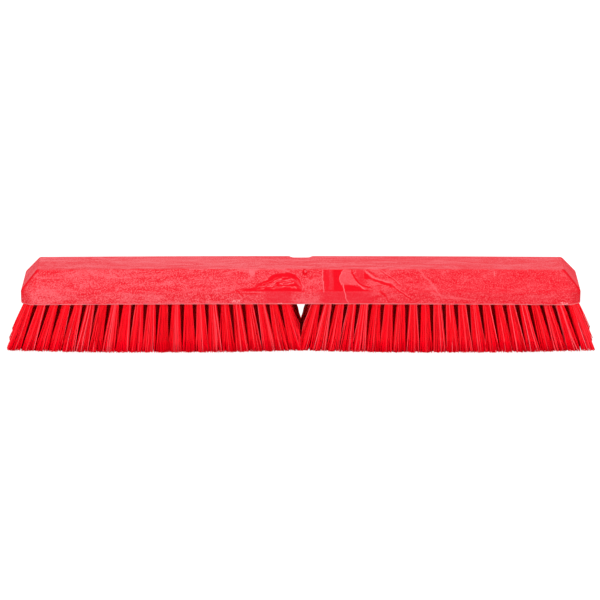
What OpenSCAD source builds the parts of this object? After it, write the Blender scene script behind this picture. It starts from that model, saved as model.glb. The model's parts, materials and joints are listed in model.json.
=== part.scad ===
// Push broom head: a moulded block, fibre tufts set in blind holes, and the flat wire
// anchors that hold each tuft's fold at the bottom of its hole.
// Origin: on the surface that the tips rest on, under the middle of the block.
// +X runs along the block, -Y is its front, and +Z is up.

/* [Block] */
// Length of the block, end to end
block_l = 610; // [600:1:640]
// Depth of the block, front to back
block_d = 76.2; // [75:0.1:82]
// Height of the upright band round the foot of the block
band_h = 15.2; // [14:0.1:16]
// Height of the sloped faces above the band
slope_h = 20.2; // [19:0.1:21]
// How far the front and back faces slope in
slope_run = 16; // [15:0.5:17]
// How far the end faces slope in
end_run = 17.4; // [15:0.1:20]
// Length of the cut that takes off each corner of the band
corner_l = 11; // [8:0.5:12]
// Depth of the same cut
corner_d = 7; // [5:0.5:8]
// Bevel round the underside
foot_bevel = 1.5; // [0.5:0.1:2]
// Bevel round the top face
top_bevel = 0.8; // [0.3:0.1:1.2]

/* [Handle socket] */
// Radius of the threaded hole, at the root of its thread
socket_r = 9.65; // [9:0.05:10]
// Length of the threaded hole
socket_l = 22; // [16:0.5:22]
// Lean of the handle from upright, towards the back
handle_tilt = 42; // [40:1:43]
// Radius of the seat cut into the back slope round the hole
seat_r = 17.1; // [15:0.1:18]

/* [Tufts] */
// Length of the fibre outside the block, where it is longest
trim_l = 58.2; // [50:0.1:65]
// Radius of a tuft hole
hole_r = 4.3; // [3.6:0.1:4.4]
// Depth of a tuft hole along its axis
hole_l = 13.5; // [12:0.5:13.5]
// Radius of a tuft at its tip
tip_r = 6.2; // [5:0.1:6.3]
// Distance between rows at the underside
row_pitch = 11; // [10.5:0.1:11.5]
// Distance from the middle of the block to the first tuft
centre_gap = 17.6; // [16.5:0.1:19]
// Distance from the end of the block to the last tuft
end_gap = 10.8; // [10.5:0.1:13]
// Sideways lean of the tufts, per millimetre from the upright one
lean_rate = 0.12; // [0.1:0.005:0.13]
// Distance from the middle of the block to the upright tufts
lean_zero = 126; // [120:1:130]
// How much further apart the rows are at the tips, as a share of their distance
row_splay = 0.4; // [0.3:0.05:0.5]
// How much shorter the tufts are at both ends of each half
tip_rise = 2.1; // [0:0.1:3]

/* [Anchors] */
// Length of an anchor, across the hole and into both walls
anchor_l = 9.4; // [9.2:0.1:9.8]
// Thickness of the anchor wire
anchor_t = 0.5; // [0.3:0.1:0.8]
// Width of the anchor wire, along the hole
anchor_w = 2.4; // [1.6:0.1:2.8]

/* [Hidden] */
$fn = 48;
ROWS = 5;
COLUMNS = 22;
SIDES = [-1, 1];
tuft_gap = 0.05;
anchor_depth = hole_l - 3;
skin = 0.01;
flat_share = 0.2;
tip_clear = 0.2;
// Middle of the handle's seat, from the back and from the top of the block
seat_inset = 10.9;
seat_drop = 9.9;
// Height of the cut that clears the space over the seat
seat_reach = 40;
// How far a hole's cut starts outside the face it goes into
cut_over = 2;
// Extra length of a tuft before it is trimmed, and the block that trims it
trim_over = 6;
trim_cut = [40, 40, 20];

block_z = trim_l;
band_z = block_z + band_h;
top_z = band_z + slope_h;
column_pitch = (block_l / 2 - end_gap - centre_gap) / (COLUMNS - 1);
seat_y = block_d / 2 - seat_inset;
seat_z = top_z - seat_drop;

function tufts_name(row, side) = str("tufts_row", row, side < 0 ? "_left" : "_right");
function anchors_name(row, side) = str("anchors_row", row, side < 0 ? "_left" : "_right");

// Rows 2 and 4 stand between the tufts of rows 1, 3 and 5, with one tuft fewer.
function staggered(row) = row % 2 == 0;
function columns(row) = staggered(row) ? COLUMNS - 1 : COLUMNS;
function column_at(row, i) = staggered(row) ? i + 0.5 : i;

// Where a tuft's axis crosses the underside, and where it meets the resting surface. The
// tufts fan out to both ends of each half, and the two halves stay clear of each other.
function root_x(row, i) = centre_gap + column_pitch * column_at(row, i);
function root_y(row) = row_pitch * (row - (ROWS + 1) / 2);
function fan_x(x) = x + lean_rate * (x - lean_zero);
function tip_x(row, i) = max(fan_x(root_x(row, i)), tip_r + tip_clear);
function tip_y(row) = root_y(row) * (1 + row_splay);

// Height of a tuft's tip: level in the middle of each half, and rising to its ends.
function along(row, i) = 2 * column_at(row, i) / (COLUMNS - 1) - 1;
function tip_z(row, i) =
    tip_rise * pow(max(0, abs(along(row, i)) - flat_share) / (1 - flat_share), 2);

// Puts a child that stands on the origin, +Z up, into a tuft hole: its origin at the
// mouth, +Z along the axis into the block, and X in the plane of the block's length.
module at_hole(row, side, i) {
    rise = [side * (root_x(row, i) - tip_x(row, i)), root_y(row) - tip_y(row), trim_l];
    translate([side * root_x(row, i), root_y(row), block_z])
        rotate([-asin(rise.y / norm(rise)), atan2(rise.x, rise.z), 0])
            children();
}

module anchor_wire() {
    translate([0, 0, anchor_depth])
        cube([anchor_l, anchor_t, anchor_w], center = true);
}

module tuft_hole() {
    translate([0, 0, -cut_over])
        cylinder(r = hole_r, h = hole_l + cut_over);
}

// A tuft before its tip is trimmed: straight in the hole, then spreading to the tip.
module tuft_blank() {
    reach = trim_l + trim_over;
    rotate_extrude()
        polygon([[0, -reach], [tip_r, -reach], [hole_r - tuft_gap, 0],
            [hole_r - tuft_gap, hole_l], [0, hole_l]]);
}

// Outline of the band, drawn in by inset on every side.
module band_outline(inset) {
    x = block_l / 2 - inset;
    y = block_d / 2 - inset;
    polygon([[-x, corner_d - y], [corner_l - x, -y], [x - corner_l, -y], [x, corner_d - y],
        [x, y - corner_d], [x - corner_l, y], [corner_l - x, y], [-x, y - corner_d]]);
}

module top_outline(inset) {
    square([block_l - 2 * (end_run + inset), block_d - 2 * (slope_run + inset)], center = true);
}

module block_body() {
    hull() {
        translate([0, 0, block_z])
            linear_extrude(skin) band_outline(foot_bevel);
        translate([0, 0, block_z + foot_bevel])
            linear_extrude(band_h - foot_bevel) band_outline(0);
        translate([0, 0, top_z - top_bevel])
            linear_extrude(skin) top_outline(0);
        translate([0, 0, top_z - skin])
            linear_extrude(skin) top_outline(top_bevel);
    }
}

module handle_socket() {
    translate([0, seat_y, seat_z])
        rotate([-handle_tilt, 0, 0]) {
            cylinder(r = seat_r, h = seat_reach);
            translate([0, 0, -socket_l])
                cylinder(r = socket_r, h = socket_l + cut_over);
        }
}

module block() {
    color([0.96, 0.25, 0.3])
        difference() {
            block_body();
            handle_socket();
            for (row = [1:ROWS], side = SIDES, i = [0:columns(row) - 1])
                at_hole(row, side, i) {
                    tuft_hole();
                    anchor_wire();
                }
        }
}

module tuft(row, side, i) {
    difference() {
        at_hole(row, side, i)
            tuft_blank();
        at_hole(row, side, i)
            anchor_wire();
        translate([side * tip_x(row, i), tip_y(row), tip_z(row, i) - trim_cut.z / 2])
            cube(trim_cut, center = true);
    }
}

module tufts(row, side) {
    color([0.86, 0.03, 0.12])
        for (i = [0:columns(row) - 1])
            tuft(row, side, i);
}

module anchors(row, side) {
    color([0.75, 0.76, 0.78])
        for (i = [0:columns(row) - 1])
            at_hole(row, side, i)
                anchor_wire();
}

block();
for (row = [1:ROWS], side = SIDES) {
    tufts(row, side);
    anchors(row, side);
}
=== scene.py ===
"""Push broom head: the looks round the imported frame.

Everything is in metres, in the frame's own axes: +X along the block, -Y the front, +Z up.
The main places and sizes are measured on the CAD nodes, or come from the record's
handle hole. The rest are named below.
"""

import json
import math

import bmesh
import bpy
import numpy as np
from mathutils import Matrix, Vector


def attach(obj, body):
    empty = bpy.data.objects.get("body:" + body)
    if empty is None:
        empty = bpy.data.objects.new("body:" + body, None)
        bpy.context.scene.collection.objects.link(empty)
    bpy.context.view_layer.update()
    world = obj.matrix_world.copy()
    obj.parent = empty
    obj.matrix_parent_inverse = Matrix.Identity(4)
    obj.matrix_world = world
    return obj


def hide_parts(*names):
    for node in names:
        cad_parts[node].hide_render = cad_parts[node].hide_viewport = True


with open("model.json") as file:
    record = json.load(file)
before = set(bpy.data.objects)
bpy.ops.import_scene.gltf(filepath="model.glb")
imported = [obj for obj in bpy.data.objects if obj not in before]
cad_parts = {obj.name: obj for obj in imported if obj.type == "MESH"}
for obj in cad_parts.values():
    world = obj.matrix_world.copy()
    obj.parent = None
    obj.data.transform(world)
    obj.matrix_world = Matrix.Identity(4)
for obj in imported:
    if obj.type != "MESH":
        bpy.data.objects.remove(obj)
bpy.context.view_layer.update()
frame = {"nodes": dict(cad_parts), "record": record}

MM = 0.001
TOUCH = 0.02 * MM
BODY = "root"
ROWS = range(1, 6)
SIDES = ("left", "right")


# ---------------------------------------------------------------- measuring the frame

def vertices(node):
    """The vertices of a CAD node, as an array of points."""
    mesh = frame["nodes"][node].data
    co = np.empty(len(mesh.vertices) * 3, np.float32)
    mesh.vertices.foreach_get("co", co)
    return co.reshape(-1, 3).astype(float)


def islands(node):
    """The separate solids of a CAD node, each as an array of points, in order of X."""
    bm = bmesh.new()
    bm.from_mesh(frame["nodes"][node].data)
    bmesh.ops.remove_doubles(bm, verts=bm.verts, dist=TOUCH / 2)
    found = []
    seen = set()
    for start in bm.verts:
        if start in seen:
            continue
        seen.add(start)
        queue = [start]
        for vert in queue:
            for edge in vert.link_edges:
                other = edge.other_vert(vert)
                if other not in seen:
                    seen.add(other)
                    queue.append(other)
        found.append(np.array([v.co for v in queue], float))
    bm.free()
    return sorted(found, key=lambda points: points[:, 0].mean())


def middle(points):
    return (points.min(0) + points.max(0)) / 2


class Block:
    """The block's outline, measured on its CAD node."""

    points = vertices("block")
    low = points.min(0)
    high = points.max(0)
    half_l, half_d = high[0], high[1]
    foot_z, top_z = low[2], high[2]
    end_face = points[points[:, 0] > half_l - TOUCH]
    side_face = points[points[:, 1] > half_d - TOUCH]
    top_face = points[points[:, 2] > top_z - TOUCH]
    band_z = end_face[:, 2].max()
    corner_l = half_l - side_face[:, 0].max()
    corner_d = half_d - end_face[:, 1].max()
    top_l = top_face[:, 0].max()
    top_d = -top_face[:, 1].min()


class Socket:
    """The handle hole, from the record, and the seat round it, from the CAD node."""

    mount = next(m for m in frame["record"]["mounts"] if m["name"] == "handle_hole")
    axis = Vector(mount["axis"]).normalized()
    length = mount["dims"]["length_mm"] * MM
    radius = mount["dims"]["r_mm"] * MM
    seat = Vector(mount["pos_m"]) + axis * length / 2
    place = Matrix.Translation(seat) @ axis.to_track_quat("Z", "X").to_matrix().to_4x4()
    offset = Block.points - np.array(seat)
    height = offset @ np.array(axis)
    reach = np.linalg.norm(offset - height[:, None] * np.array(axis), axis=1)
    seat_radius = reach[(abs(height) < TOUCH) & (reach < 3 * radius)].max()


class Tuft:
    """A tuft's axis: the middle of its anchor, its mouth in the underside, and its tip."""

    def __init__(self, tuft, anchor):
        self.anchor = middle(anchor)
        self.tip = middle(tuft[tuft[:, 2] < tuft[:, 2].min() + TOUCH])
        self.up = (self.anchor - self.tip) / np.linalg.norm(self.anchor - self.tip)
        self.mouth = self.tip + self.up * (Block.foot_z - self.tip[2]) / self.up[2]
        self.depth = np.linalg.norm(self.anchor - self.mouth)
        self.across = np.cross((0, 1, 0), self.up)
        self.across /= np.linalg.norm(self.across)
        self.forward = np.cross(self.up, self.across)


def tufts_of(row, side):
    pairs = zip(islands(f"tufts_row{row}_{side}"), islands(f"anchors_row{row}_{side}"))
    return [Tuft(tuft, anchor) for tuft, anchor in pairs]


tufts = {(row, side): tufts_of(row, side) for row in ROWS for side in SIDES}


# ---------------------------------------------------------------- mesh helpers

def new_piece(name, mesh, *materials):
    obj = bpy.data.objects.new(name, mesh)
    bpy.context.scene.collection.objects.link(obj)
    for material in materials:
        mesh.materials.append(material)
    return obj


def applied(obj):
    """Bakes an object's modifiers into its mesh."""
    depsgraph = bpy.context.evaluated_depsgraph_get()
    mesh = bpy.data.meshes.new_from_object(obj.evaluated_get(depsgraph), depsgraph=depsgraph)
    obj.modifiers.clear()
    old = obj.data
    obj.data = mesh
    bpy.data.meshes.remove(old)
    return obj


def revolve(bm, place, profile, sides):
    """Adds a closed solid of revolution: profile is (radius, height) pairs, from end to end."""
    rings = []
    for radius, height in profile:
        rings.append([
            bm.verts.new(place @ Vector((
                radius * math.cos(math.tau * k / sides),
                radius * math.sin(math.tau * k / sides),
                height,
            )))
            for k in range(sides)
        ])
    for lower, upper in zip(rings, rings[1:]):
        for k in range(sides):
            after = (k + 1) % sides
            bm.faces.new((lower[k], lower[after], upper[after], upper[k]))
    bm.faces.new(reversed(rings[0]))
    bm.faces.new(rings[-1])


def cut(obj, bm):
    """Takes the solids in bm away from obj."""
    mesh = bpy.data.meshes.new("cutter")
    bm.normal_update()
    bm.to_mesh(mesh)
    bm.free()
    cutter = new_piece("cutter", mesh)
    boolean = obj.modifiers.new("cut", "BOOLEAN")
    boolean.operation = "DIFFERENCE"
    boolean.solver = "EXACT"
    boolean.object = cutter
    applied(obj)
    bpy.data.objects.remove(cutter)
    bpy.data.meshes.remove(mesh)


# ---------------------------------------------------------------- node helpers

class Nodes:
    """A short way to write the node tree of a material, or of the world."""

    def __init__(self, owner, shader):
        owner.use_nodes = True
        self.owner = owner
        self.tree = owner.node_tree
        self.shader = self.tree.nodes[shader]

    def add(self, kind, inputs=None, **settings):
        node = self.tree.nodes.new(kind)
        for key, value in settings.items():
            setattr(node, key, value)
        for key, value in (inputs or {}).items():
            self.feed(node.inputs[key], value)
        return node

    def feed(self, socket, value):
        if isinstance(value, bpy.types.NodeSocket):
            self.tree.links.new(value, socket)
        else:
            socket.default_value = value

    def math(self, operation, a, b=0.0):
        return self.add("ShaderNodeMath", {0: a, 1: b}, operation=operation).outputs[0]

    def share(self, *masks):
        """The product of masks, each from 0 to 1."""
        product = masks[0]
        for mask in masks[1:]:
            product = self.math("MULTIPLY", product, mask)
        return product

    def most(self, *masks):
        """The largest of masks."""
        largest = masks[0]
        for mask in masks[1:]:
            largest = self.math("MAXIMUM", largest, mask)
        return largest

    def vector(self, operation, a, b):
        node = self.add("ShaderNodeVectorMath", {0: a, 1: b}, operation=operation)
        return node.outputs[0]

    def split(self, vector):
        return self.add("ShaderNodeSeparateXYZ", {0: vector}).outputs

    def noise(self, vector, scale, detail=2.0, roughness=0.5):
        return self.add("ShaderNodeTexNoise", {
            "Vector": vector, "Scale": scale, "Detail": detail, "Roughness": roughness,
        })

    def grained(self, place, rates, detail=2.0, roughness=0.5):
        """Noise with its own rate along each axis: one value from 0 to 1, and a vector."""
        node = self.noise(self.vector("MULTIPLY", place, rates), 1.0, detail, roughness)
        return node.outputs[0], node.outputs["Color"]

    def near(self, value, level, outer, inner=0.0):
        """1 where value is within inner of level, and 0 where it is further off than outer."""
        off = self.math("ABSOLUTE", self.math("SUBTRACT", value, level))
        return self.remap(off, outer, inner)

    def remap(self, value, low, high, to_low=0.0, to_high=1.0, smooth=True):
        node = self.add("ShaderNodeMapRange", {
            "Value": value, "From Min": low, "From Max": high,
            "To Min": to_low, "To Max": to_high,
        }, interpolation_type="SMOOTHSTEP" if smooth else "LINEAR")
        return node.outputs[0]

    def mix(self, share, a, b):
        node = self.add("ShaderNodeMix", data_type="RGBA")
        self.feed(node.inputs[0], share)
        self.feed(node.inputs[6], a)
        self.feed(node.inputs[7], b)
        return node.outputs[2]

    def bump(self, height, strength, distance):
        node = self.add("ShaderNodeBump", {
            "Height": height, "Strength": strength, "Distance": distance,
        })
        return node.outputs[0]

    def set(self, **values):
        for key, value in values.items():
            self.feed(self.shader.inputs[key.replace("_", " ")], value)
        return self.owner


def new_material(name):
    return Nodes(bpy.data.materials.new(name), "Principled BSDF")


def position(n):
    """The point in the frame, in millimetres."""
    place = n.add("ShaderNodeTexCoord").outputs["Object"]
    return n.vector("MULTIPLY", place, (1 / MM, 1 / MM, 1 / MM))


# ---------------------------------------------------------------- materials

LIGHT_RED = (0.67, 0.040, 0.055, 1)
DEEP_RED = (0.655, 0.004, 0.014, 1)
PALE_RED = (0.72, 0.125, 0.145, 1)
# Pale pinkish red: painted sheen on the top face, and the grey-pink tone of the stripes on the
# ends
SHEEN_PALE_RED = (0.76, 0.21, 0.25, 1)
CALM_RED = (0.66, 0.016, 0.030, 1)
# Deepest red: the strokes, and the painted shade in the gate's recess
STROKE_AND_GATE_SHADE_RED = (0.67, 0.0, 0.008, 1)
# Deeper red: painted shade on the ridges and corners, and the darker top edge
DARK_EDGE_RED = (0.65, 0.001, 0.010, 1)
# Pale pink: painted highlight along the foot edge, and the real scuffs on the band's foot
HIGHLIGHT_AND_SCUFF_RED = (0.86, 0.23, 0.25, 1)
# Range over which the marbling is pulled out of line, in millimetres along each axis
MARBLE_PULL = (90, 34, 34)
# How many grains there are in a millimetre, and the height of their bumps
GRAIN_SCALE = 0.9
GRAIN_DEPTH = 0.5 * MM


def block_plastic():
    """Structural foam: a light red marbled with deeper red, pale flow lines and a fine grain,
    with painted sheen on the top and ends, painted shade on the corners, ridges and gate recess,
    and painted highlights on the foot and top edges.
    """
    n = new_material("block_plastic")
    place = position(n)
    _, drift = n.grained(place, (0.016, 0.04, 0.04))
    drift = n.vector("SUBTRACT", drift, (0.5, 0.5, 0.5))
    swirl = n.vector("ADD", place, n.vector("MULTIPLY", drift, MARBLE_PULL))
    flow, _ = n.grained(swirl, (0.022, 0.11, 0.11), 5.0, 0.62)
    wisps, _ = n.grained(swirl, (0.045, 0.26, 0.26), 4.0, 0.6)
    streaks, _ = n.grained(swirl, (0.018, 0.32, 0.05), 5.0, 0.62)
    rakes, _ = n.grained(place, (0.03, 0.8, 0.03), 3.0, 0.6)
    veins, _ = n.grained(swirl, (0.016, 0.13, 0.13), 3.0, 0.55)
    tint, _ = n.grained(swirl, (0.007, 0.03, 0.03))
    grain = n.noise(place, GRAIN_SCALE, 2.0, 0.7).outputs[0]
    # Flow marks, with painted shade in the gate's recess, and a painted glint and a painted
    # highlight among the pale marks
    calm, deep_strokes_and_gate_shade, pale_marks_and_highlights = mould_flow(n, place, swirl)
    # Painted shade on the ridges and corners, a darker top edge, and a painted highlight along
    # the foot edge with the real scuffs
    ridge_shade_and_dark_top_edge, foot_highlight_and_scuffs = painted_edge_shade_and_highlight(n, place)

    along = n.split(place)[0]
    facing_x, _, facing_z = n.split(n.add("ShaderNodeNewGeometry").outputs["True Normal"])
    sideways = n.math("ABSOLUTE", facing_x)
    on_top = n.remap(facing_z, 0.8, 0.95)
    on_end = n.remap(sideways, 0.62, 0.7)
    on_corner = n.share(n.remap(sideways, 0.25, 0.35), n.remap(sideways, 0.68, 0.6))
    rough = n.math("SUBTRACT", 1.0, n.math("MULTIPLY", calm, 0.75))
    rightwards = n.share(n.remap(along, -180, 240, 0.0, 0.38), n.remap(on_top, 0, 1, 1, 0.35))

    # Each layer is painted over those before it: where it is, how strongly, and its colour.
    layers = (
        (n.remap(tint, 0.38, 0.62, 1.0, 0.0), 0.36, DEEP_RED),
        (n.remap(flow, 0.48, 0.60), 0.92, DEEP_RED),
        (n.remap(flow, 0.46, 0.36), 0.58, PALE_RED),
        (n.remap(wisps, 0.54, 0.68), 0.4, PALE_RED),
        (n.remap(wisps, 0.45, 0.33), 0.3, DEEP_RED),
        (n.share(n.remap(streaks, 0.51, 0.58), on_top), 0.7, DEEP_RED),
        (n.share(n.remap(streaks, 0.48, 0.41), on_top), 0.9, PALE_RED),
        (n.share(n.remap(tint, 0.50, 0.38), on_top), 0.4, PALE_RED),
        (n.share(n.remap(tint, 0.50, 0.62), on_top), 0.12, DEEP_RED),
        # Painted sheen: the whole top face is made a little paler
        (on_top, 0.12, SHEEN_PALE_RED),
        (n.share(n.remap(rakes, 0.48, 0.56), on_end), 0.75, DEEP_RED),
        # Pale stripes on the ends: real striations, in a grey pink that is a painted sheen
        (n.share(n.remap(rakes, 0.47, 0.41), on_end), 0.55, SHEEN_PALE_RED),
        (n.near(veins, 0.52, 0.012), 0.55, PALE_RED),
        (n.near(wisps, 0.49, 0.014), 0.35, DEEP_RED),
        # Painted shade: the corner facets are made deeper red
        (on_corner, 0.5, DEEP_RED),
        (calm, 0.8, CALM_RED),
        (n.share(n.remap(grain, 0.50, 0.62), rough), 0.8, PALE_RED),
        (n.share(n.remap(grain, 0.48, 0.38), rough), 0.7, DEEP_RED),
        (rightwards, 1.0, DEEP_RED),
        # Deep strokes, and the painted shade in the gate's recess
        (deep_strokes_and_gate_shade, 0.95, STROKE_AND_GATE_SHADE_RED),
        # Pale strokes and marks, with a painted glint by the gate and a painted highlight along
        # the top edge
        (pale_marks_and_highlights, 0.8, PALE_RED),
        # Painted shade along the ridges and at the corners, and a darker red along the top's
        # front edge
        (ridge_shade_and_dark_top_edge, 1.0, DARK_EDGE_RED),
        # Painted highlight along the foot edge, and the pale scuffs on the band's foot
        (foot_highlight_and_scuffs, 1.0, HIGHLIGHT_AND_SCUFF_RED),
    )
    colour = LIGHT_RED
    for mask, strength, tone in layers:
        colour = n.mix(n.share(mask, strength), colour, tone)
    pits = n.noise(place, GRAIN_SCALE, 4.0, 0.6).outputs[0]
    return n.set(
        Base_Color=colour,
        Roughness=n.remap(grain, 0.3, 0.7, 0.7, 0.92),
        Normal=n.bump(pits, 0.5, GRAIN_DEPTH),
        Specular_IOR_Level=0.08,
        Sheen_Weight=0.02,
        Sheen_Roughness=0.4,
    )


def mould_flow(n, place, swirl):
    """The flow marks of the plastic in the middle of the front face, where the mould filled.

    Gives the calm patches without grain, the deep red strokes with the painted shade in the
    gate's recess, and the pale ones with the gate's painted glint and a painted highlight along
    the top edge. X is in millimetres from the middle of the block, and heights are above the edge
    of the band.
    """
    x, y, z = n.split(place)
    z = n.math("SUBTRACT", z, Block.band_z / MM)
    top = (Block.top_z - Block.band_z) / MM
    front = n.math("LESS_THAN", y, -(Block.top_d / MM))
    _, warp = n.grained(swirl, (0.09, 0.16, 0.16))
    warp_x, _, warp_z = n.split(warp)
    x = n.math("ADD", x, n.remap(warp_x, 0.3, 0.7, -0.7, 0.7, smooth=False))
    z_bent = n.math("ADD", z, n.remap(warp_z, 0.3, 0.7, -0.8, 0.8, smooth=False))
    above = n.share(n.remap(z, -0.4, 0.4), front)
    below = n.share(n.remap(z, 0.4, -0.4), front)

    def window(value, low, high, soft):
        """1 where value is from low to high, with edges that fade over twice soft."""
        return n.share(
            n.remap(value, low - soft, low + soft),
            n.remap(value, high + soft, high - soft),
        )

    def swept(*marks):
        """Strokes: a line with its window across it, a window along the block, strength."""
        return n.most(*(
            n.share(window(line, *across), window(x, *along), strength)
            for line, across, along, strength in marks
        ))

    def squared_sum(a, b):
        return n.math("ADD", n.math("MULTIPLY", a, a), n.math("MULTIPLY", b, b))

    def round_about(at_x, at_z, half_x=1, half_z=1):
        """Distance from a point, in units of the half sizes of an oval."""
        return n.math("SQRT", squared_sum(
            n.math("DIVIDE", n.math("SUBTRACT", x, at_x), half_x),
            n.math("DIVIDE", n.math("SUBTRACT", z_bent, at_z), half_z),
        ))

    def lines(value, across, scale, stretch):
        """Lines that follow value, and change slowly along across."""
        spot = n.add("ShaderNodeCombineXYZ", {0: value, 1: n.math("MULTIPLY", across, stretch)})
        return n.noise(spot.outputs[0], scale).outputs[0]

    def over(start, height, slope, kick=0.0, settle=1.0):
        """Height of a point above a line that falls by slope, and sheds kick over settle."""
        past = n.math("SUBTRACT", x, start)
        early = n.math("SUBTRACT", 1.0, n.math("EXPONENT", n.math("DIVIDE", past, -settle)))
        fall = n.math("ADD", n.math("MULTIPLY", past, slope), n.math("MULTIPLY", early, kick))
        return n.math("SUBTRACT", z_bent, n.math("SUBTRACT", height, fall))

    # The arch rises slowly from the left and drops round at its right end. Its nested arcs
    # are shares of its height.
    arch_from, arch_full, arch_height = -67, -16, 17.4
    end_from, end_length = -14.5, 16.4
    reach = n.math("DIVIDE", n.math("SUBTRACT", x, end_from), end_length)
    reach = n.math("MAXIMUM", reach, 0.0)
    left_over = n.math("SUBTRACT", 1.0, n.math("MULTIPLY", reach, reach))
    right_end = n.math("SQRT", n.math("MAXIMUM", left_over, 0.0004))
    rise = n.share(n.remap(x, arch_from, arch_full, 0.02, arch_height), right_end)
    share = n.math("DIVIDE", z_bent, rise)
    arch = n.share(n.remap(share, 1.03, 0.96), above)
    arcs = lines(share, x, 8.0, 0.009)
    arc_lines = n.near(arcs, 0.46, 0.04, 0.012)
    inner = n.share(window(share, 0.22, 0.76, 0.06), window(x, -44, -3, 6), above)
    crescent = n.share(window(share, 0.74, 0.98, 0.05), window(x, -48, 1, 5), above)
    rim = n.share(window(share, 1.02, 1.10, 0.04), above, n.remap(x, -6, 0))
    base = n.share(window(z, 0.2, 2.9, 0.6), window(x, -66, -1, 6), front)
    core = n.share(n.remap(round_about(-7.5, 0, 9, 5.5), 1.1, 0.85), above)
    tail = n.share(window(over(-68, -0.8, 0.85), -0.9, 0.9, 0.7), window(x, -70, -62, 2), front)
    low_tail = n.share(window(z, -3.2, -1.8, 0.7), window(x, -64, -42, 6), front)

    # The panel of upright bars right of the gate, with a seam on its left. A pale blob
    # bulges into its right side, and a tongue and a spine run out of the blob's foot.
    panel = n.share(window(x, 24.8, 43.5, 0.8), above)
    bars = n.share(n.remap(lines(x, z, 0.2, 0.1), 0.44, 0.52), panel)
    waist = n.math("SUBTRACT", z_bent, 11)
    off_blob = n.math("SUBTRACT", n.math("SUBTRACT", x, 42.4), n.share(waist, waist, 0.06))
    bar = n.share(n.remap(x, 34.3, 36.7), n.remap(off_blob, 0.3, -0.7), above)
    seam_off = n.math("SUBTRACT", x, n.remap(z, 10, 8.5, 23.6, 24.6))
    seam = n.share(window(seam_off, -0.5, 0.4, 0.25), window(z, -1, top - 1, 1))
    tongue = n.share(window(over(56, 5.8, 0.3), -9, 0, 0.5), window(x, 47, 76, 1.5), above)
    spine = n.share(window(over(45, 8, 3.4), -1.9, 1.9, 0.8), window(z, -13, 8, 1))

    # The lines that sweep away to the right, and the strokes on and beside them.
    near = over(55.8, 18.2, 0.15, 12, 5.5)
    far = over(69.5, 18, 0.27, 4, 4)
    far_end = over(99, 6, 0.72)
    last = over(87, 19.3, 0.66)
    dive = over(85, 0.4, 0.0, -1.2, -4.3)
    bow = over(128, 19, 0.75, -0.3, -8)
    blob = n.share(n.remap(off_blob, -0.3, 0.5), n.remap(near, -2.6, -3.6), window(z, 6, 30, 0.6))
    blob_edge = n.share(window(off_blob, -0.5, 0.5, 0.3), window(z, 6, 30, 1))
    hook = n.share(window(far, -9, 0.3, 0.4), window(z, 11, 30, 0.6), window(x, 69.5, 90, 0.8))
    deep_strokes = swept(
        (near, (-2.6, 0.8, 0.5), (54, 64, 1.5), 1.0),
        (near, (-1.5, 0.6, 0.4), (61, 76, 2), 1.0),
        (far, (-2.0, 0.5, 0.4), (78, 100, 2), 1.0),
        (far, (2.9, 4.2, 0.4), (73, 83, 1.5), 0.8),
        (far_end, (-1.1, 0.6, 0.4), (98, 121, 3), 0.9),
        (last, (-0.8, 0.5, 0.4), (88, 110, 3), 0.8),
        (dive, (-1.8, 1.6, 0.6), (86, 96, 2), 0.9),
        (z, (0.1, 1.6, 0.6), (20, 76, 4), 0.8),
    )
    pale_strokes_and_top_highlight = swept(
        (far, (1.0, 2.1, 0.3), (70, 98, 3), 0.9),
        (near, (-3.4, -2.4, 0.4), (58, 70, 2), 1.0),
        (last, (0.7, 1.4, 0.4), (88, 110, 3), 0.8),
        (far_end, (0.9, 1.7, 0.4), (100, 120, 3), 0.7),
        (bow, (-1.3, 1.3, 1.2), (130, 154, 3), 0.5),
        # Painted highlight along the top edge, over the panel
        (z, (top - 0.5, top + 0.5, 0.3), (25, 68, 3), 0.8),
    )
    # Two short nicks far from the middle, and a pale spot over the arch's left end
    nicks = swept(
        (z, (-5.2, -4.0, 0.5), (-214, -206, 2), 0.8),
        (z, (14, 18, 0.8), (210.5, 211.5, 0.4), 1.0),
    )
    spot = n.share(n.remap(round_about(-53, 17.6), 4.0, 2.8), 0.9)
    # The gate's recess is painted deep red as painted shade, with a painted pale glint beside its
    # middle.
    from_gate = round_about(GATE_X / MM, 17.3)
    from_glint = round_about(5.3, 18.1)
    gate_shade = n.share(n.remap(from_gate, 3.2, 2.6), n.remap(from_glint, 1.2, 1.9))
    glint = n.share(n.remap(from_glint, 1.4, 0.8), 0.6)

    calm = n.most(
        arch, panel, tongue, n.share(blob, front, 0.4),
        n.share(window(x, 60, 69, 2), above),
        n.share(window(x, -40, -10, 5), below),
        n.share(window(x, 20, 80, 7), below),
    )
    # Deep red marks, with the painted shade of the gate's recess
    deep = n.most(
        n.share(arch, n.remap(arcs, 0.50, 0.56)), crescent, base, core, tail, low_tail,
        n.share(bars, 0.7), bar, tongue, hook, deep_strokes, gate_shade,
    )
    # Pale marks, with the painted glint and the painted highlight along the top edge
    pale = n.most(
        n.share(inner, arc_lines), rim, seam, spine, n.share(blob, 0.42), blob_edge,
        pale_strokes_and_top_highlight, nicks, spot, glint,
    )
    return calm, n.share(deep, front), n.share(pale, front)


# Distances from an edge, in millimetres, at which the painted shade of the ridge and the corner,
# the darker top edge and the painted highlight of the foot begin and are full
RIDGE_SHADE_WIDTHS = (2.8, 1.3)
CORNER_WIDTHS = (8, 3)
TOP_WIDTHS = (2.4, 0.8)
FOOT_HIGHLIGHT_WIDTHS = (1.9, 0.9)
# Patches on the foot of the band: X, height above the foot, and both half sizes
SCUFFS = ((-70, 4, 5, 2), (-22.5, 1, 3, 1.4), (286, 2.2, 5, 2))


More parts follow.
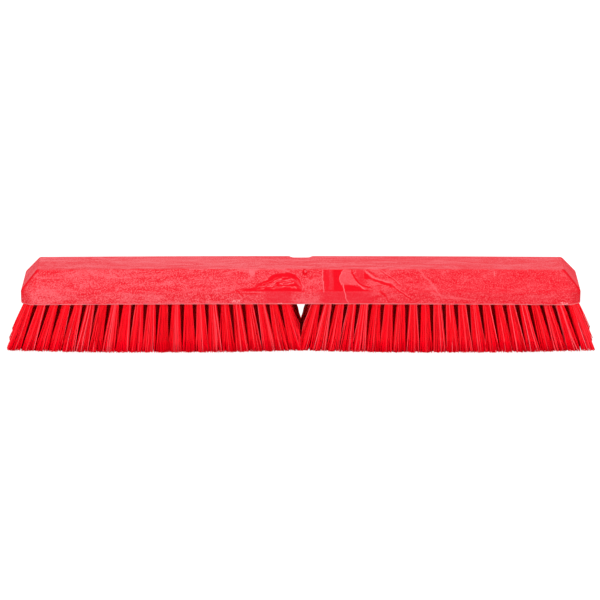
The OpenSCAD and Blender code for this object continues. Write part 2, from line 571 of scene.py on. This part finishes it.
def painted_edge_shade_and_highlight(n, place):
    """How far a point is in the painted shade of a ridge or a corner, on the darker top edge, and
    in the painted highlight of the foot edge with its pale scuffs.
    """
    x, y, z = n.split(place)
    sag = n.math("MULTIPLY", n.math("MULTIPLY", x, x), BOW * MM / Block.half_l ** 2)
    z = n.math("ADD", z, sag)
    spot = n.add("ShaderNodeCombineXYZ", {
        0: n.math("ABSOLUTE", x), 1: n.math("ABSOLUTE", y), 2: z,
    }).outputs[0]
    corner = Vector((Block.top_l, Block.top_d, Block.top_z)) / MM
    ridge = Vector((Block.half_l, Block.half_d - Block.corner_d, Block.band_z)) / MM - corner

    def off_line(point, direction):
        arm = n.vector("SUBTRACT", spot, point)
        return n.add("ShaderNodeVectorMath", {
            0: n.vector("CROSS_PRODUCT", arm, direction.normalized()),
        }, operation="LENGTH").outputs["Value"]

    patchiness, _ = n.grained(place, (0.09, 0.4, 0.4), 3.0, 0.6)
    # Painted shade along the ridge between each end slope and its corner facet
    at_ridge = n.remap(off_line(corner, ridge), *RIDGE_SHADE_WIDTHS)
    # Painted shade round the foot of each ridge
    off_corner = n.add("ShaderNodeVectorMath", {0: spot, 1: corner + ridge}, operation="DISTANCE")
    at_corner = n.share(n.remap(off_corner.outputs["Value"], *CORNER_WIDTHS), 0.75)
    # Darker red along the top's front edge, in patches
    at_top = n.share(
        n.remap(off_line(corner, Vector((1, 0, 0))), *TOP_WIDTHS),
        n.remap(patchiness, 0.42, 0.6), 0.6,
    )
    foot = n.math("SUBTRACT", z, Block.foot_z / MM)
    # Painted highlight along the foot's rounded edge, in patches
    at_foot = n.share(n.remap(foot, *FOOT_HIGHLIGHT_WIDTHS), n.remap(patchiness, 0.35, 0.55, 0.4, 0.8))

    def scuff(at_x, height, half_x, half_z):
        """A patch on the front of the band."""
        off_x = n.math("DIVIDE", n.math("SUBTRACT", x, at_x), half_x)
        off_z = n.math("DIVIDE", n.math("SUBTRACT", foot, height), half_z)
        return n.remap(n.math("ADD", n.share(off_x, off_x), n.share(off_z, off_z)), 1.2, 0.6)

    speckle = n.remap(n.noise(place, 0.55).outputs[0], 0.48, 0.56)
    scuffs = n.most(*(scuff(*patch) for patch in SCUFFS))
    at_foot = n.most(at_foot, n.share(scuffs, speckle, n.math("LESS_THAN", y, 0.0)))
    return n.most(at_ridge, at_corner, at_top), at_foot


# The fibres' reds, from the deepest shade to the palest
FIBRE_REDS = (
    (0.0, (0.78, 0.0, 0.006, 1)),
    (0.6, (1.0, 0.0, 0.012, 1)),
    (1.0, (1.0, 0.11, 0.14, 1)),
)
STEEL_GREYS = ((0.48, 0.48, 0.50, 1), (0.66, 0.66, 0.68, 1))


def bristle_fibre():
    """Red monofilament. Each fibre has its own shade, which its mesh carries."""
    n = new_material("bristle_fibre")
    shade = n.add("ShaderNodeAttribute", attribute_name="shade").outputs["Fac"]
    ramp = n.add("ShaderNodeValToRGB", {"Fac": shade})
    stops = ramp.color_ramp.elements
    stops.new(FIBRE_REDS[1][0])
    for stop, (at, colour) in zip(stops, FIBRE_REDS):
        stop.position, stop.color = at, colour
    scuffs = n.noise(position(n), 0.5, 3.0, 0.6).outputs[0]
    return n.set(
        Base_Color=ramp.outputs[0],
        Roughness=n.remap(scuffs, 0.3, 0.7, 0.34, 0.52),
        Normal=n.bump(scuffs, 0.2, 0.1 * MM),
        Specular_IOR_Level=0.07,
    )


def anchor_wire():
    """Drawn flat steel wire, with fine scratches along it."""
    n = new_material("anchor_wire")
    scratches, _ = n.grained(position(n), (0.4, 12, 12), 3.0)
    return n.set(
        Base_Color=n.mix(scratches, *STEEL_GREYS),
        Roughness=n.remap(scratches, 0.3, 0.7, 0.25, 0.45),
        Normal=n.bump(scratches, 0.3, 0.05 * MM),
        Metallic=1.0,
    )


# ---------------------------------------------------------------- the block

# Widths of the rounded edges
FOOT_ROUND = 1.7 * MM
UPRIGHT_ROUND = 2.4 * MM
BAND_ROUND = 2.2 * MM
CORNER_ROUND = 1.2 * MM
TOP_ROUND = 1.6 * MM
# The block bows a little as it cools: its ends sit this much lower than its middle.
BOW = 1.2 * MM
SLICE = 8 * MM
# Faces that meet at more than this many degrees keep a hard edge.
SMOOTH_ANGLE = 32


def block_blank():
    """The block before anything is cut into it: an upright band, and slopes to the top."""
    x, y = Block.half_l, Block.half_d
    inner_x, inner_y = x - Block.corner_l, y - Block.corner_d
    outline = [(-x, -inner_y), (-inner_x, -y), (inner_x, -y), (x, -inner_y),
               (x, inner_y), (inner_x, y), (-inner_x, y), (-x, inner_y)]
    top_x = Block.top_l + TOP_ROUND / 2
    top_y = Block.top_d + TOP_ROUND / 2
    bm = bmesh.new()
    foot = [bm.verts.new((*point, Block.foot_z)) for point in outline]
    band = [bm.verts.new((*point, Block.band_z)) for point in outline]
    top = [bm.verts.new((sx * top_x, sy * top_y, Block.top_z))
           for sx, sy in ((-1, -1), (1, -1), (1, 1), (-1, 1))]
    widths = {}

    def edge_width(a, b, width):
        widths[frozenset((a, b))] = width

    for k in range(8):
        after = (k + 1) % 8
        bm.faces.new((foot[k], foot[after], band[after], band[k]))
        edge_width(foot[k], foot[after], FOOT_ROUND)
        edge_width(band[k], band[after], BAND_ROUND)
        edge_width(foot[k], band[k], UPRIGHT_ROUND)
    for k in range(4):
        after = (k + 1) % 4
        left, right = band[2 * k], band[2 * k + 1]
        bm.faces.new((left, right, top[k]))
        bm.faces.new((right, band[(2 * k + 2) % 8], top[after], top[k]))
        edge_width(left, top[k], CORNER_ROUND)
        edge_width(right, top[k], CORNER_ROUND)
        edge_width(top[k], top[after], TOP_ROUND)
    bm.faces.new(reversed(foot))
    bm.faces.new(top)

    weight = bm.edges.layers.float.new("bevel_weight_edge")
    for edge in bm.edges:
        edge[weight] = widths[frozenset(edge.verts)] / UPRIGHT_ROUND
    mesh = bpy.data.meshes.new("block_body")
    bm.to_mesh(mesh)
    bm.free()
    obj = new_piece("block_body", mesh)
    bevel = obj.modifiers.new("round", "BEVEL")
    bevel.limit_method = "WEIGHT"
    bevel.width = UPRIGHT_ROUND
    bevel.segments = 5
    bevel.use_clamp_overlap = False
    return applied(obj)


def slice_lengthwise(obj):
    """Cuts the faces across the length, so that the block can bow."""
    bm = bmesh.new()
    bm.from_mesh(obj.data)
    for step in range(1, int(2 * Block.half_l / SLICE)):
        bmesh.ops.bisect_plane(
            bm, geom=bm.verts[:] + bm.edges[:] + bm.faces[:], dist=TOUCH / 20,
            plane_co=(step * SLICE - Block.half_l, 0, 0), plane_no=(1, 0, 0),
        )
    bm.to_mesh(obj.data)
    bm.free()


# The radius of the CAD block's tuft holes, and the chamfer at their mouths
HOLE_RADIUS = 4.3 * MM
HOLE_LIP = 0.4 * MM
HOLE_SIDES = 20
# How far the cut starts outside the block, and how far it goes past the anchor
HOLE_OVER = 1 * MM
HOLE_PAST = 3 * MM


def tuft_hole_cutter():
    """The blind holes of all the tufts, with chamfered mouths."""
    bm = bmesh.new()
    for group in tufts.values():
        for tuft in group:
            axes = np.column_stack((tuft.across, tuft.forward, tuft.up))
            place = Matrix.Translation(tuft.mouth) @ Matrix(axes.tolist()).to_4x4()
            profile = [
                (HOLE_RADIUS + HOLE_LIP + HOLE_OVER, -HOLE_OVER),
                (HOLE_RADIUS, HOLE_LIP),
                (HOLE_RADIUS, tuft.depth + HOLE_PAST),
            ]
            revolve(bm, place, profile, HOLE_SIDES)
    return bm


SOCKET_LIP = 0.8 * MM
SOCKET_SIDES = 72
# The hole ends in a blunt cone: its depth, and the share of the radius that stays flat
CONE_DEPTH = 1.5 * MM
CONE_FLAT = 0.55
SEAT_CORNER = 1.0 * MM
SEAT_STEPS = 4
SEAT_REACH = 40 * MM


def socket_cutter():
    """The threaded hole, with a chamfered mouth, and the seat with a round inner corner."""
    bm = bmesh.new()
    radius, seat = Socket.radius, Socket.seat_radius
    profile = [
        (radius * CONE_FLAT, -Socket.length - CONE_DEPTH),
        (radius, -Socket.length),
        (radius, -SOCKET_LIP),
        (radius + SOCKET_LIP, 0),
    ]
    for step in range(SEAT_STEPS + 1):
        turn = math.pi / 2 * step / SEAT_STEPS
        profile.append((
            seat - SEAT_CORNER * (1 - math.sin(turn)),
            SEAT_CORNER * (1 - math.cos(turn)),
        ))
    profile.append((seat, SEAT_REACH))
    revolve(bm, Socket.place, profile, SOCKET_SIDES)
    return bm


GATE_X = 4.4 * MM
# How far up the front slope the gate is, as a share of the slope
GATE_RISE = 0.86
GATE_RADIUS = 2.9 * MM
GATE_DEPTH = 0.5 * MM
GATE_OVER = 1 * MM
GATE_SIDES = 24


def gate_cutter():
    """The shallow round recess, high on the front slope, where the plastic came in."""
    bm = bmesh.new()
    slope = Vector((0, Block.half_d - Block.top_d, Block.top_z - Block.band_z))
    seat = Vector((GATE_X, -Block.half_d, Block.band_z)) + slope * GATE_RISE
    out = Vector((0, -slope.z, slope.y))
    place = Matrix.Translation(seat) @ out.to_track_quat("Z", "X").to_matrix().to_4x4()
    profile = [
        (GATE_RADIUS - GATE_DEPTH, -GATE_DEPTH),
        (GATE_RADIUS, 0),
        (GATE_RADIUS, GATE_OVER),
    ]
    revolve(bm, place, profile, GATE_SIDES)
    return bm


def lower_ends(obj):
    """Bows the block."""
    co = np.empty(len(obj.data.vertices) * 3, np.float32)
    obj.data.vertices.foreach_get("co", co)
    co = co.reshape(-1, 3)
    co[:, 2] -= BOW * (co[:, 0] / Block.half_l) ** 2
    obj.data.vertices.foreach_set("co", co.ravel())
    obj.data.update()


def smooth(obj):
    """Smooth shading that keeps the flat faces flat and the hard edges hard."""
    for face in obj.data.polygons:
        face.use_smooth = True
    obj.data.set_sharp_from_angle(angle=math.radians(SMOOTH_ANGLE))
    normals = obj.modifiers.new("normals", "WEIGHTED_NORMAL")
    normals.keep_sharp = True
    normals.weight = 80


def make_block(material):
    obj = block_blank()
    slice_lengthwise(obj)
    cut(obj, socket_cutter())
    cut(obj, gate_cutter())
    cut(obj, tuft_hole_cutter())
    lower_ends(obj)
    obj.data.materials.clear()
    obj.data.materials.append(material)
    smooth(obj)
    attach(obj, BODY)
    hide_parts("block")


# ---------------------------------------------------------------- the handle thread

THREAD_PITCH = 5.08 * MM
THREAD_HEIGHT = 1.35 * MM
THREAD_STEPS = 40
# Distance from the seat to the middle of the ridge's first turn, and what the thread
# leaves free of the hole's length
THREAD_START = 2 * MM
THREAD_FREE = 3 * MM
# Half widths of the ridge at its crest and at its root, and how deep the root is sunk
CREST_HALF = 0.55 * MM
ROOT_HALF = 1.5 * MM
ROOT_SINK = 0.3 * MM
# How many times faster than a turn the ridge rises to its full height
THREAD_FADE = 3


def make_thread(material):
    """The ridge that winds down the handle hole, fading out at both ends."""
    turns = (Socket.length - THREAD_FREE) / THREAD_PITCH
    steps = int(turns * THREAD_STEPS)
    bm = bmesh.new()
    rings = []
    for step in range(steps + 1):
        share = step / steps
        angle = math.tau * turns * share
        height = -THREAD_START - THREAD_PITCH * turns * share
        fade = min(1, share * turns * THREAD_FADE, (1 - share) * turns * THREAD_FADE)
        crest = Socket.radius - THREAD_HEIGHT * fade
        base = Socket.radius + ROOT_SINK
        outline = [
            (base, ROOT_HALF), (crest, CREST_HALF), (crest, -CREST_HALF), (base, -ROOT_HALF),
        ]
        rings.append([
            bm.verts.new(Socket.place @ Vector((
                r * math.cos(angle), r * math.sin(angle), height + h)))
            for r, h in outline
        ])
    for before, after in zip(rings, rings[1:]):
        for k in range(4):
            bm.faces.new((before[k], before[(k + 1) % 4], after[(k + 1) % 4], after[k]))
    bm.faces.new(reversed(rings[0]))
    bm.faces.new(rings[-1])
    bmesh.ops.recalc_face_normals(bm, faces=bm.faces)
    mesh = bpy.data.meshes.new("handle_thread")
    bm.to_mesh(mesh)
    bm.free()
    obj = new_piece("handle_thread", mesh, material)
    smooth(obj)
    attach(obj, BODY)


# ---------------------------------------------------------------- the bristles

FIBRES = 60
FIBRE_RADIUS = 0.35 * MM
FIBRE_SIDES = 5
# How much thicker a fibre is where it is worn at its tip
TIP_SWELL = 0.3
# Half widths of a tuft: in its hole, and at its tip along and across the block
ROOT_SPREAD = 3.95 * MM
TIP_WIDTH = 7.5 * MM
TIP_DEPTH = 6.4 * MM
# The outer rows spread less on their outer side.
OUTER_SHARE = 0.78
# How unevenly the tips are spread, and how far above the CAD tuft's tip they end: all of
# them by the lift, and each one by its own part of the unevenness
TIP_SCATTER = 0.2 * MM
TIP_LIFT = 0.9 * MM
TIP_UNEVEN = 0.5 * MM
CLUMPS = 9
CLUMPING = 0.14
# The fibres that stray: how many, how much wider they spread, and how much shorter they are
STRAY_SHARE = 0.035
STRAY_SPREAD = (1.1, 1.35)
STRAY_LIFT = 2 * MM
# The tufts at both sides of the middle lean on each other, left and right unevenly, but
# their fibres stay this far from the middle.
MIDDLE_REACH = (9 * MM, 6.5 * MM)
MIDDLE_SPREAD = 1.45
MIDDLE_CLEAR = (0.1, 1.4)
# The last tufts of the left and the right half lean out a little more than the others.
END_FLARE = (2.1 * MM, 3.2 * MM)
END_TUFTS = 30 * MM
# Those on the right bulge out as well, half way down.
END_BULGE = 1.9 * MM
# A leg's steps from tip to mouth, how late it spreads, and how far it bends
LEG_STEPS = 5
LEG_CURVE = 1.15
LEG_BEND = 0.45 * MM
# The fold, along the hole from the anchor: where the legs end below it, how far above it
# the innermost fibre passes, how much further the outermost, and the drop to the shoulders
FOLD_BELOW = 2.2 * MM
FOLD_OVER = 1.75 * MM
FOLD_STACK = 0.9 * MM
FOLD_SHOULDER = 0.6 * MM
# Shades from 0 to 1: their mean, and how far tufts, clumps and fibres are off it
SHADE = 0.43
TUFT_SHADE = 0.02
CLUMP_SHADE = 0.06
FIBRE_SHADE = 0.27
GOLDEN = math.pi * (3 - math.sqrt(5))


def disc_points(count):
    """Evenly spread points in a disc of radius 1, those in front first, each half by X."""
    k = np.arange(count)
    radius = np.sqrt((k + 0.5) / count)
    points = np.column_stack((radius * np.cos(GOLDEN * k), radius * np.sin(GOLDEN * k)))
    points = points[np.argsort(points[:, 1])]
    half = count // 2
    front, back = points[:half], points[half:]
    return front[np.argsort(front[:, 0])], back[np.argsort(back[:, 0])]


def clumps(rng):
    """Middles of the clumps that a tuft's fibres gather in towards their tips."""
    k = np.arange(CLUMPS)
    radius = np.sqrt((k + 0.5) / CLUMPS) * rng.uniform(0.85, 1.0, CLUMPS)
    angle = GOLDEN * k + rng.uniform(0, math.tau)
    return np.column_stack((radius * np.cos(angle), radius * np.sin(angle)))


def squared(spots):
    """Points of a disc, moved out towards the square round it."""
    reach = np.linalg.norm(spots, axis=1, keepdims=True)
    widest = np.abs(spots).max(1, keepdims=True)
    return spots * (0.3 + 0.7 * reach / widest)


def at_spots(tuft, spots, width=1.0, height=0.0):
    """Places in a tuft's hole: spots in its round, squeezed to width, and their heights."""
    flat = ROOT_SPREAD * (spots[:, :1] * tuft.across + width * spots[:, 1:] * tuft.forward)
    return tuft.mouth + flat + np.asarray(height).reshape(-1, 1) * tuft.up


def leg(tuft, spots, gather, rng):
    """Paths of one leg of each fibre, from the tip up to the mouth, and each one's clump."""
    count = len(spots)
    side = math.copysign(1, tuft.mouth[0])
    root = at_spots(tuft, spots)
    clump = np.linalg.norm(spots[:, None] - gather, axis=2).argmin(1)
    spread = squared(spots + CLUMPING * (gather[clump] - spots)) / (1 - 0.25 * CLUMPING)
    spread *= (TIP_WIDTH, TIP_DEPTH)
    spread += rng.normal(0, TIP_SCATTER, (count, 2))
    end = max(0, abs(tuft.mouth[0]) - Block.half_l + END_TUFTS) / END_TUFTS
    if abs(tuft.mouth[1]) > Block.half_d / 2:
        spread[spread[:, 1] * tuft.mouth[1] > 0, 1] *= OUTER_SHARE
    stray = rng.random(count) < STRAY_SHARE * (1 + 2 * end)
    spread[stray] *= rng.uniform(*STRAY_SPREAD, (stray.sum(), 1))
    tip = np.tile(tuft.tip, (count, 1))
    if abs(tuft.tip[0]) < TIP_WIDTH:
        spread[:, 0] *= MIDDLE_SPREAD
        tip[:, 0] -= side * MIDDLE_REACH[side > 0] / 2
    tip[:, 0] += side * END_FLARE[side > 0] * end ** 2
    tip[:, :2] += spread
    tip[:, 2] += TIP_LIFT + abs(rng.normal(0, TIP_UNEVEN, count))
    tip[stray, 2] += rng.uniform(0, STRAY_LIFT, stray.sum())
    bend = rng.normal(0, LEG_BEND, (count, 1, 3)) * (1 + 2 * stray[:, None, None])
    share = np.linspace(1, 0, LEG_STEPS)[None, :, None]
    along = tuft.tip - tuft.mouth
    path = root[:, None] + along * share + (tip - root - along)[:, None] * share ** LEG_CURVE
    arc = 4 * share * (1 - share)
    path += bend * arc * share
    path[:, :, 0] += END_BULGE * end * (side > 0) * arc[:, :, 0]
    wall = rng.uniform(*MIDDLE_CLEAR, (count, 1)) * MM
    path[:, :, 0] = side * np.maximum(side * path[:, :, 0], wall)
    return path, clump


def fold(tuft, front, back):
    """The stretch of each fibre in the hole, over the anchor: (fibre, step, 3)."""
    below = tuft.depth - FOLD_BELOW
    mean = (front + back) / 2
    mean[:, 1] = 0
    reach = (np.abs(front[:, 1]) + np.abs(back[:, 1])) / 2
    top = tuft.depth + FOLD_OVER + FOLD_STACK * reach
    return np.stack([
        at_spots(tuft, front, 0.95, below),
        at_spots(tuft, front, 0.55, top - FOLD_SHOULDER),
        at_spots(tuft, mean, 1.0, top),
        at_spots(tuft, back, 0.55, top - FOLD_SHOULDER),
        at_spots(tuft, back, 0.95, below),
    ], axis=1)


def tubes(paths, axis):
    """Round tubes along the paths: points of shape (fibre, step, side, 3)."""
    along = np.gradient(paths, axis=1)
    along /= np.linalg.norm(along, axis=2, keepdims=True)
    out = np.cross(along, axis)
    out /= np.linalg.norm(out, axis=2, keepdims=True)
    side = np.cross(along, out)
    angle = math.tau * np.arange(FIBRE_SIDES) / FIBRE_SIDES
    ring = (np.cos(angle)[:, None] * out[:, :, None] + np.sin(angle)[:, None] * side[:, :, None])
    swell = np.zeros(paths.shape[1])
    swell[:LEG_STEPS] = np.linspace(TIP_SWELL, 0, LEG_STEPS)
    radius = FIBRE_RADIUS * (1 + swell + swell[::-1])
    return paths[:, :, None] + radius[:, None, None] * ring


def tube_mesh(name, points, shades):
    """One mesh of all the tubes, closed at both ends."""
    fibres, steps, sides, _ = points.shape
    first = np.arange(fibres)[:, None, None] * steps * sides
    ring = np.arange(steps - 1)[None, :, None] * sides
    k = np.arange(sides)[None, None, :]
    after = (k + 1) % sides
    base = first + ring
    quads = np.stack([base + k, base + after, base + sides + after, base + sides + k], axis=3)
    start = np.arange(fibres)[:, None] * steps * sides
    near = start + np.arange(sides)[::-1]
    far = start + (steps - 1) * sides + np.arange(sides)
    loops = np.concatenate([quads.ravel(), near.ravel(), far.ravel()])
    sizes = np.concatenate([np.full(quads.size // 4, 4), np.full(2 * fibres, sides)])
    mesh = bpy.data.meshes.new(name)
    mesh.vertices.add(points.size // 3)
    mesh.vertices.foreach_set("co", points.ravel().astype(np.float32))
    mesh.loops.add(len(loops))
    mesh.loops.foreach_set("vertex_index", loops.astype(np.int32))
    mesh.polygons.add(len(sizes))
    mesh.polygons.foreach_set("loop_start", (np.cumsum(sizes) - sizes).astype(np.int32))
    mesh.update(calc_edges=True)
    smooth_faces = np.concatenate([np.ones(quads.size // 4, bool), np.zeros(2 * fibres, bool)])
    mesh.polygons.foreach_set("use_smooth", smooth_faces)
    shade = mesh.attributes.new("shade", "FLOAT", "POINT")
    shade.data.foreach_set("value", np.repeat(shades, steps * sides).astype(np.float32))
    mesh.validate()
    return mesh


def make_bristles(row, side, material):
    """One row of one half: every fibre is folded over its tuft's anchor, with two ends out."""
    rng = np.random.default_rng(100 * row + SIDES.index(side))
    points, shades = [], []
    for tuft in tufts[row, side]:
        front, back = disc_points(2 * FIBRES)
        gather = clumps(rng)
        near, clump = leg(tuft, front, gather, rng)
        far, _ = leg(tuft, back, gather, rng)
        paths = np.concatenate([near, fold(tuft, front, back), far[:, ::-1]], axis=1)
        points.append(tubes(paths, tuft.across))
        clump_shade = rng.normal(SHADE + rng.normal(0, TUFT_SHADE), CLUMP_SHADE, CLUMPS)
        shades.append(np.clip(clump_shade[clump] + rng.normal(0, FIBRE_SHADE, FIBRES), 0, 1))
    name = f"bristles_row{row}_{side}"
    mesh = tube_mesh(name, np.concatenate(points), np.concatenate(shades))
    obj = new_piece(name, mesh, material)
    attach(obj, BODY)
    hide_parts(f"tufts_row{row}_{side}")


# ---------------------------------------------------------------- floor, light and camera

FLOOR_HALF = 8
FLOOR_GREYS = ((0.14, 0.14, 0.14, 1), (0.18, 0.18, 0.18, 1))
FLOOR_GLOW = 0.94


def make_floor():
    """A white floor that is lit from within, so that it stays white and casts no glare."""
    n = new_material("floor_white")
    shade = n.noise(position(n), 0.004).outputs[0]
    n.set(
        Base_Color=n.mix(shade, *FLOOR_GREYS),
        Roughness=0.9,
        Specular_IOR_Level=0.1,
        Emission_Color=(1, 1, 1, 1),
        Emission_Strength=FLOOR_GLOW,
    )
    bm = bmesh.new()
    bmesh.ops.create_grid(bm, x_segments=2, y_segments=2, size=FLOOR_HALF)
    mesh = bpy.data.meshes.new("floor")
    bm.to_mesh(mesh)
    bm.free()
    floor = new_piece("floor", mesh, n.owner)
    floor.visible_diffuse = False
    floor.visible_glossy = False


# Name, place, size and power of each lamp, and what they all point at
LAMPS = (
    ("left", (-1.65, -1.75, 0.5), (1.0, 0.9), 53),
    ("right", (1.65, -1.75, 0.5), (1.0, 0.9), 51),
    ("back", (0.1, 1.2, 2.0), (2.4, 1.0), 47),
)
LAMP_TARGET = Vector((0, 0, 0.05))


def area_light(name, place, size, power):
    light = bpy.data.lights.new(name, "AREA")
    light.shape = "RECTANGLE"
    light.size, light.size_y = size
    light.energy = power
    obj = bpy.data.objects.new(name, light)
    obj.location = place
    obj.rotation_euler = (LAMP_TARGET - Vector(place)).to_track_quat("-Z", "Y").to_euler()
    bpy.context.scene.collection.objects.link(obj)


# The sky's strength above and below the horizon, what its back adds, and how bright
# it is where it shows as a gloss
SKY_UP = 0.27
SKY_DOWN = 0.045
SKY_BACK = 0.5
SKY_GLOSS = 0.5


def make_world():
    """A white studio: brighter at the back, dim below, and plain white to the camera."""
    world = bpy.data.worlds.new("studio")
    bpy.context.scene.world = world
    n = Nodes(world, "Background")
    way = n.add("ShaderNodeTexCoord").outputs["Generated"]
    _, back, rise = n.split(way)
    ray = n.add("ShaderNodeLightPath").outputs
    strength = n.remap(rise, -0.3, 0.3, SKY_DOWN, SKY_UP)
    behind = n.share(n.remap(back, 0.0, 0.8, 0, SKY_BACK), n.remap(rise, -0.1, 0.2))
    strength = n.math("ADD", strength, behind)
    gloss = n.math("MULTIPLY", ray["Is Glossy Ray"], n.math("SUBTRACT", SKY_GLOSS, strength))
    strength = n.math("ADD", strength, gloss)
    camera = n.math("MULTIPLY", ray["Is Camera Ray"], n.math("SUBTRACT", 1.0, strength))
    n.set(Color=(1, 1, 1, 1), Strength=n.math("ADD", strength, camera))


CAMERA_ELEVATION = 20.2
CAMERA_DISTANCE = 3.192
CAMERA_LENS = 173.9
# What the camera points at, beside the middle and under the block's foot
CAMERA_ASIDE = -0.8 * MM
CAMERA_BELOW = 8.6 * MM


def make_camera():
    camera = bpy.data.cameras.new("camera")
    camera.sensor_width = 36
    camera.lens = CAMERA_LENS
    camera.clip_end = 50
    obj = bpy.data.objects.new("camera", camera)
    lean = math.radians(CAMERA_ELEVATION)
    target = Vector((CAMERA_ASIDE, 0, Block.foot_z - CAMERA_BELOW))
    away = Vector((0, -math.cos(lean), math.sin(lean)))
    obj.location = target + away * CAMERA_DISTANCE
    obj.rotation_euler = (-away).to_track_quat("-Z", "Y").to_euler()
    bpy.context.scene.collection.objects.link(obj)
    bpy.context.scene.camera = obj
    bpy.context.scene.view_settings.view_transform = "Standard"


make_camera()
make_world()
for lamp in LAMPS:
    area_light(*lamp)
make_floor()
plastic = block_plastic()
fibre = bristle_fibre()
wire = anchor_wire()
make_block(plastic)
make_thread(plastic)
for row in ROWS:
    for side in SIDES:
        make_bristles(row, side, fibre)
        anchor = frame["nodes"][f"anchors_row{row}_{side}"]
        anchor.data.materials.clear()
        anchor.data.materials.append(wire)
